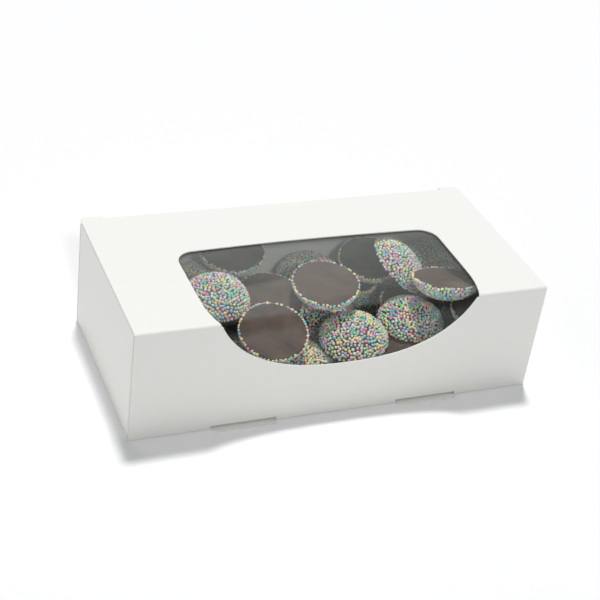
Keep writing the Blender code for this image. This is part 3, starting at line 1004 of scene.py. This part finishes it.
@dataclass
class Tray:
    """Bottom, walls and glue tabs, with the creases between them."""

    carton: Carton
    palette: Palette
    ear_width: float = 8.5 * MM
    ear_inset: float = 1.0 * MM
    tongue_corner: float = 1.2 * MM
    tongue_width: float = 27.3 * MM
    tab_taper: float = 4.0 * MM
    floor_steps: int = 5
    end_steps: int = 6
    hinge_steps: int = 8

    def floor(self) -> Piece:
        """The bottom, turned up at its four creases, with two tongues in front.

        Returns:
            The piece.
        """
        c = self.carton
        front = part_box("front_inner_wall")[0][1]
        wall_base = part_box("back_wall")[0][2]
        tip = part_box("bottom_panel")[0][1]
        floor = c.sheet("tray_floor", (-c.right, front), (c.right, c.back), 0.0)
        with editing(floor, action="SELECT"):
            extrude((0, 0, wall_base))
        with editing(floor, "FACE"):
            pick(floor, lambda p: p.z > wall_base / 2, "faces")
            bpy.ops.mesh.delete(type="ONLY_FACE")
        with editing(floor):
            pick(floor, lambda p: p.z < wall_base / 2)
            bpy.ops.mesh.bevel(offset=c.floor_crease, segments=self.floor_steps, affect="EDGES")
        c.thicken(floor, -UP, c.board)
        root, half = front + c.hidden_crease, self.tongue_width / 2
        for side in Side:
            middle, _ = lock_span(side)
            low = (middle - half, front - c.gap, -c.gap)
            cut(floor, block("tongue_room", low, (middle + half, root, 2 * c.board)))
            points = tabbed(-middle, self.tongue_width, -root, -tip, self.tongue_corner)
            points = [(-x, -y, 0.0) for x, y in points]
            cut(floor, outline_tool("tongue", points, c.board, UP), "UNION")
        smooth(floor)
        return floor

    def end_board(self, side: Side) -> Piece:
        """One end wall with the two glue tabs that fold in from it.

        Args:
            side: Which end.

        Returns:
            The piece.
        """
        c = self.carton
        wall_low, wall_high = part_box(side.word + "_end_wall")
        tab_low, tab_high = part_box("front_" + side.word + "_glue_tab")
        outer = side.value * c.right
        reach = tab_high[0] - tab_low[0] + c.board + c.gap
        bpy.ops.mesh.primitive_plane_add(size=1, rotation=(0, math.radians(90), 0))
        board = named(side.word + "_end_board")
        settle(board)
        middle = ((wall_low[1] + wall_high[1]) / 2, (wall_low[2] + wall_high[2]) / 2)
        size = (1, wall_high[1] - wall_low[1], wall_high[2] - wall_low[2])
        with editing(board, "FACE", "SELECT"):
            bpy.ops.transform.resize(value=size, center_override=(0, 0, 0))
            bpy.ops.transform.translate(value=(outer, *middle))
        for y in (wall_low[1], wall_high[1]):
            c.fold(board, at(x=outer, y=y), (-side.value * reach, 0, 0), c.hidden_crease, self.end_steps)
        with editing(board):
            pick(board, lambda p: abs(p.x - outer) > reach - c.gap)
            bpy.ops.mesh.bevel(offset=self.tab_taper, affect="VERTICES")
        c.thicken(board, Vector((side.value, 0, 0)), c.board)
        near, far = outer - side.value * (c.hidden_crease + c.gap / 3), outer - side.value * (reach + c.gap)
        low = (min(near, far), c.front, tab_high[2])
        cut(board, block("tab_room", low, (max(near, far), c.back, c.height)))
        smooth(board)
        return board

    def back_crease(self) -> Piece:
        """The crease on which the lid hangs, between its two ears.

        Returns:
            The piece.
        """
        c = self.carton
        half = c.right - self.ear_inset - self.ear_width - c.gap
        wall_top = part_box("back_wall")[1][2]
        crease = c.sheet("back_crease", (-half, c.back - c.hidden_crease), (half, c.back), c.height)
        with editing(crease):
            pick(crease, at(y=c.back))
            extrude((0, 0, wall_top - c.height))
            pick(crease, at(y=c.back, z=c.height))
            bpy.ops.mesh.bevel(offset=c.hidden_crease * 0.999, segments=self.hinge_steps, affect="EDGES")
            bpy.ops.mesh.select_all(action="SELECT")
            bpy.ops.mesh.remove_doubles(threshold=NEAR / 3)
        c.thicken(crease, Vector((0, 1, 1)), c.board)
        smooth(crease, 40)
        return crease

    def build(self) -> list[Piece]:
        """Make the tray's boards and set them in for their CAD panels.

        Returns:
            The pieces.
        """
        floor = self.floor()
        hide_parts("bottom_panel")
        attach(floor, Body.TRAY.value)
        pieces = [floor]
        for side in Side:
            board = self.end_board(side)
            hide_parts(side.word + "_end_wall", "front_" + side.word + "_glue_tab",
                        "back_" + side.word + "_glue_tab")
            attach(board, Body.TRAY.value)
            pieces.append(board)
        crease = self.back_crease()
        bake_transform(crease)
        pieces.append(crease)
        for piece in pieces:
            dress(piece, [self.palette.board])
        for name in ("back_wall", "front_inner_wall"):
            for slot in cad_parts[name].material_slots:
                slot.material = self.palette.board
        return pieces


@dataclass
class Drop:
    """One chocolate drop: a low dome on a flat base, coated with beads."""

    radius: float = 14.2 * MM
    height: float = 8.65 * MM
    start: float = 0.985
    profile: tuple = (
        (1.0, 0.045), (0.985, 0.16), (0.945, 0.31), (0.87, 0.48), (0.76, 0.64), (0.61, 0.79), (0.42, 0.91), (0.21, 0.98)
    )
    sides: int = 40
    base_rings: int = 4
    base_step: float = 0.14
    wave_count: int = 4
    wave_size: tuple = (0.003, 0.011)
    base_below: float = 0.02
    base_within: float = 0.9
    base_dip: float = 0.16 * MM
    dip_turn: float = 5.5
    dip_shift: float = 0.2
    bead: float = 1.55 * MM
    bead_range: tuple = (0.88, 1.1)
    bead_spacing: float = 0.7347
    bead_rise: float = 0.08 * MM
    bead_tries: int = 26000
    scatter_seed: int = 100
    coat_seed: int = 200
    bead_turns: int = 12
    turn_range: float = 6.28
    squash_range: tuple = (0.9, 1.08)
    rim_clearance: float = 0.25 * MM

    def waves(self, seed: int) -> list[tuple]:
        """Draw one drop's uneven outline: each wave's count, turn and size."""
        rng, full = np.random.default_rng(seed), 2 * math.pi
        return [(rng.integers(2, 6), rng.uniform(0, full), rng.uniform(*self.wave_size)) for _ in range(self.wave_count)]

    def body(self, seed: int) -> Piece:
        """Raise the dome from a disc, ring by ring.

        Args:
            seed: Picks this drop's own unevenness.

        Returns:
            The chocolate, flat side down on z = 0.
        """
        bpy.ops.mesh.primitive_circle_add(vertices=self.sides, radius=self.start * self.radius, fill_type="NGON")
        body = named(f"drop_body_{seed}")
        settle(body)
        with editing(body, "FACE", "SELECT"):
            last_radius, last_height = self.start, 0.0
            for share, rise in self.profile:
                extrude((0, 0, (rise - last_height) * self.height))
                scale = share / last_radius
                bpy.ops.transform.resize(value=(scale, scale, 1), center_override=(0, 0, rise * self.height))
                last_radius, last_height = share, rise
            extrude((0, 0, (1 - last_height) * self.height))
            bpy.ops.mesh.merge(type="CENTER")
            work = bmesh.from_edit_mesh(body.data)
            for face in work.faces:
                face.select_set(len(face.verts) > 4)
            bmesh.update_edit_mesh(body.data)
            for _ in range(self.base_rings):
                bpy.ops.mesh.inset(thickness=self.start * self.radius * self.base_step)
            bpy.ops.mesh.poke()
            bpy.ops.mesh.select_all(action="SELECT")
            bpy.ops.mesh.normals_make_consistent(inside=False)
        waves = self.waves(seed)
        for vertex in body.data.vertices:
            around = math.atan2(vertex.co.y, vertex.co.x)
            swell = 1 + sum(size * math.sin(count * around + turn) for count, turn, size in waves)
            vertex.co.x *= swell
            vertex.co.y *= swell
            out = math.hypot(vertex.co.x, vertex.co.y) / self.radius
            if vertex.co.z < self.base_below * self.height and out < self.base_within:
                dip = math.cos(out * self.dip_turn + waves[0][1] * self.dip_shift)
                vertex.co.z += self.base_dip * (1 + dip * (1 - out))
        modify(body, "SUBSURF", levels=1, render_levels=1)
        return body

    def bead_places(self, body: Piece, seed: int) -> list[tuple]:
        """Scatter beads over dome and side, no two closer than a bead apart.

        The scatter is drawn on the profile, since the modelling tools number the mesh's faces
        differently from run to run. Each kept bead is then set on the mesh.

        Args:
            body: The chocolate.
            seed: Picks the scatter.

        Returns:
            Each bead's place and size.
        """
        rng = np.random.default_rng(seed + self.scatter_seed)
        outline = np.array([(1.0, self.rim_clearance / self.height), *self.profile, (0.0, 1.0)])
        outline *= (self.radius, self.height)
        low, high = outline[:-1], outline[1:]
        slants = np.linalg.norm(high - low, axis=1)
        areas = (low[:, 0] + high[:, 0]) * slants
        picks = rng.choice(len(areas), self.bead_tries, p=areas / areas.sum())
        reach, rise = (low[picks] + rng.random((self.bead_tries, 1)) * (high - low)[picks]).T
        around = rng.uniform(0, 2 * math.pi, self.bead_tries)
        reach = reach * (1 + sum(size * np.sin(count * around + turn) for count, turn, size in self.waves(seed)))
        spots = np.stack((reach * np.cos(around), reach * np.sin(around), rise), axis=1)
        inward, upward = (self.bead_rise * (high - low) / slants[:, None])[picks].T
        lifts = np.stack((upward * np.cos(around), upward * np.sin(around), -inward), axis=1)
        sizes = self.bead * rng.uniform(*self.bead_range, len(picks))
        kept, cells = [], {}
        cell = 1.2 * self.bead
        steps = [(x, y, z) for x in (-1, 0, 1) for y in (-1, 0, 1) for z in (-1, 0, 1)]
        for spot, size, lift in zip(spots, sizes, lifts):
            key = tuple((spot // cell).astype(int))
            near = [k for step in steps for k in cells.get(tuple(a + b for a, b in zip(key, step)), ())]
            if all(np.linalg.norm(spot - kept[k][0]) > self.bead_spacing * (size + kept[k][1]) / 2 for k in near):
                cells.setdefault(key, []).append(len(kept))
                kept.append((spot, size, lift))
        return [(np.array(body.closest_point_on_mesh(Vector(spot))[1]) + lift, size) for spot, size, lift in kept]

    def bead_coat(self, places: list[tuple], seed: int) -> tuple[Piece, list[float]]:
        """Copy one bead to every place.

        Args:
            places: Each bead's place and size.
            seed: Picks turns and tones.

        Returns:
            The beads as one object, and each point's tone.
        """
        rng = np.random.default_rng(seed + self.coat_seed)
        bpy.ops.mesh.primitive_ico_sphere_add(subdivisions=1, radius=0.5)
        bead = named("bead")
        settle(bead)
        points = np.array([v.co for v in bead.data.vertices])
        faces = np.array([f.vertices for f in bead.data.polygons])
        bpy.data.objects.remove(bead, do_unlink=True)
        angles = zip(rng.uniform(0, self.turn_range, self.bead_turns), "XYZ" * self.bead_turns)
        turns = [np.array(Matrix.Rotation(angle, 3, axis)) for angle, axis in angles]
        stacked, listed, tones = [], [], []
        for number, (spot, size) in enumerate(places):
            squash = rng.uniform(*self.squash_range, 3)
            stacked.append((points * squash) @ turns[number % self.bead_turns].T * size + spot)
            listed.append(faces + number * len(points))
            tones += [rng.random()] * len(points)
        mesh = bpy.data.meshes.new("bead_coat")
        mesh.from_pydata(np.concatenate(stacked), [], np.concatenate(listed).tolist())
        coat = bpy.data.objects.new("bead_coat", mesh)
        bpy.context.scene.collection.objects.link(coat)
        return coat, tones

    def coated(self, seed: int, materials: list) -> Piece:
        """Make one kind of drop: the chocolate joined with its coat.

        Args:
            seed: Picks this drop's unevenness and beads.
            materials: The chocolate and the sugar.

        Returns:
            The coated drop, with the beads in its second material slot.
        """
        body = self.body(seed)
        coat, tones = self.bead_coat(self.bead_places(body, seed), seed)
        for obj, values, index in ((coat, tones, 1), (body, [0.0] * len(body.data.vertices), 0)):
            mark(obj, "bead_tone", values)
            fill_slots(obj, materials)
            for face in obj.data.polygons:
                face.material_index = index
                face.use_smooth = True
        make_active(body)
        coat.select_set(True)
        bpy.ops.object.join()
        return body


@dataclass
class Filling:
    """The heap of drops, each where its CAD solid lies."""

    palette: Palette
    kinds: int = 6
    turn_seed: int = 9
    same_way: float = 0.9999
    drop: Drop = field(default_factory=Drop)

    def lie(self, node: Piece, turn: float) -> Matrix:
        """Find how a CAD drop lies: its flat base's place and the way the dome points.

        Args:
            node: The CAD drop.
            turn: The turn about its own axis, in radians.

        Returns:
            The matrix that carries an upright drop there.
        """
        faces = [(np.array(face.normal), face.area, face.center) for face in node.data.polygons]
        largest, base, centre = 0.0, None, None
        for normal, _, _ in faces:
            alike = [(a, c) for n, a, c in faces if n @ normal > self.same_way]
            size = sum(a for a, _ in alike)
            if size > largest:
                largest, base = size, normal
                centre = sum((np.array(c) * a for a, c in alike), np.zeros(3)) / size
        up = Vector(-base)
        if up.dot(Vector(np.mean([v.co for v in node.data.vertices], axis=0) - centre)) < 0:
            raise ValueError(node.name + " lies inside out")
        quat = up.to_track_quat("Z", "Y").to_matrix().to_4x4()
        return Matrix.Translation(centre) @ quat @ Matrix.Rotation(turn, 4, "Z")

    def build(self) -> list[Piece]:
        """Coat a few kinds of drop and lay a copy of one in each place.

        Returns:
            The pieces.
        """
        coat = [self.palette.chocolate, self.palette.sugar]
        kinds = [self.drop.coated(seed, coat) for seed in range(self.kinds)]
        rng = np.random.default_rng(self.turn_seed)
        pieces = []
        names = sorted(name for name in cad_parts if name.startswith("nonpareil"))
        for number, name in enumerate(names):
            kind = kinds[number % self.kinds]
            drop = bpy.data.objects.new(name.replace("nonpareil", "beaded_drop"), kind.data.copy())
            bpy.context.scene.collection.objects.link(drop)
            drop.matrix_world = self.lie(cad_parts[name], rng.uniform(0, 2 * math.pi))
            settle(drop)
            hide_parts(name)
            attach(drop, Body.TRAY.value)
            pieces.append(drop)
        for kind in kinds:
            bpy.data.objects.remove(kind, do_unlink=True)
        return pieces


@dataclass
class Studio:
    """The white floor, the soft light and the camera of the photograph."""

    sky: float = 0.205
    sky_tint: tuple = (0.97, 0.99, 1.04)
    key: float = 0.69
    key_from: tuple = (0.10, 0.27, 1.0)
    key_angle: float = 7.0
    front: float = 0.19
    front_from: tuple = (-0.118, -0.80, 0.585)
    front_angle: float = 5.0
    fill: float = 0.17
    fill_from: tuple = (-1.0, 0.1, 0.30)
    fill_angle: float = 70.0
    floor_size: float = 8.0
    floor_albedo: float = 0.94
    floor_lift: float = 0.02
    camera_place: tuple = (-217.56, -450.49, 350.80)
    camera_right: tuple = (0.927043, -0.355970, 0.117796)
    camera_down: tuple = (-0.104046, -0.546046, -0.831269)
    camera_forward: tuple = (0.360229, 0.758366, -0.543246)
    lens: float = 83.74
    sensor: float = 36.0

    def seen(self, wire: Nodes) -> Socket:
        """Where rays from the camera, gloss and glass come in.

        Args:
            wire: The world's or a material's wiring.

        Returns:
            1 for those rays and 0 for the rest.
        """
        path = wire.add("ShaderNodeLightPath").outputs
        both = wire.math("MAXIMUM", path["Is Camera Ray"], path["Is Glossy Ray"])
        return wire.math("MAXIMUM", both, path["Is Transmission Ray"])

    def world(self) -> None:
        """A soft sky that is seen as plain white."""
        world = bpy.data.worlds.new("studio")
        bpy.context.scene.world = world
        world.use_nodes = True
        wire = Nodes(world.node_tree)
        world.node_tree.nodes.clear()
        soft = wire.add("ShaderNodeBackground", {"Color": (*self.sky_tint, 1), "Strength": self.sky})
        white = wire.add("ShaderNodeBackground", {"Color": (1, 1, 1, 1), "Strength": 1.0})
        mixed = wire.add("ShaderNodeMixShader", {0: self.seen(wire), 1: soft.outputs[0], 2: white.outputs[0]})
        wire.add("ShaderNodeOutputWorld", {0: mixed.outputs[0]})

    def floor(self) -> None:
        """A wide white floor that keeps the box's shadow."""
        bpy.ops.mesh.primitive_plane_add(size=self.floor_size)
        floor = named("studio_floor")
        wire = Paint("studio_white")
        wire.tree.nodes.remove(wire.shader)
        paper = wire.add("ShaderNodeBsdfDiffuse", {"Color": (self.floor_albedo,) * 3 + (1,)})
        lift = wire.add("ShaderNodeEmission", {"Color": (1, 1, 1, 1), "Strength": self.floor_lift})
        lifted = wire.add("ShaderNodeAddShader", {0: paper.outputs[0], 1: lift.outputs[0]})
        mixed = wire.add("ShaderNodeMixShader", {0: self.seen(wire), 1: paper.outputs[0], 2: lifted.outputs[0]})
        wire.feed(wire.tree.nodes["Material Output"], {0: mixed.outputs[0]})
        fill_slots(floor, [wire.material])

    def lights(self) -> None:
        """A high key, a low lamp in front and a wide fill from the left."""
        lamps = (
            ("key", self.key, self.key_from, self.key_angle),
            ("front", self.front, self.front_from, self.front_angle),
            ("fill", self.fill, self.fill_from, self.fill_angle),
        )
        for name, strength, source, angle in lamps:
            data = bpy.data.lights.new(name, "SUN")
            data.energy = strength * math.pi
            data.angle = math.radians(angle)
            lamp = bpy.data.objects.new(name, data)
            lamp.rotation_euler = Vector(source).to_track_quat("Z", "Y").to_euler()
            bpy.context.scene.collection.objects.link(lamp)

    def camera(self) -> None:
        """The photograph's view."""
        data = bpy.data.cameras.new("camera")
        data.lens = self.lens
        data.sensor_width = self.sensor
        data.clip_start = 0.01
        camera = bpy.data.objects.new("camera", data)
        right, down, forward = (Vector(v) for v in (self.camera_right, self.camera_down, self.camera_forward))
        turn = Matrix((right, -down, -forward)).transposed().to_4x4()
        camera.matrix_world = Matrix.Translation(Vector(self.camera_place) * MM) @ turn
        bpy.context.scene.collection.objects.link(camera)
        bpy.context.scene.camera = camera

    def build(self) -> None:
        """Set up world, floor, lights and camera."""
        bpy.context.scene.view_settings.view_transform = "Standard"
        self.world()
        self.floor()
        self.lights()
        self.camera()


def main() -> None:
    """Build the box piece by piece and report each one."""
    logging.basicConfig(level=logging.INFO, format="%(name)s: %(message)s")
    palette = Palette()
    carton = Carton()
    window = Window()
    Studio().build()
    for part in (
        Cover(carton, window, palette),
        WindowFilm(carton, window, palette),
        Locks(carton, palette),
        Tray(carton, palette),
        Filling(palette),
    ):
        for piece in part.build():
            LOG.info("%s: %d faces", piece.name, len(piece.data.polygons))
    deselect_all()


if __name__ == "__main__":
    main()
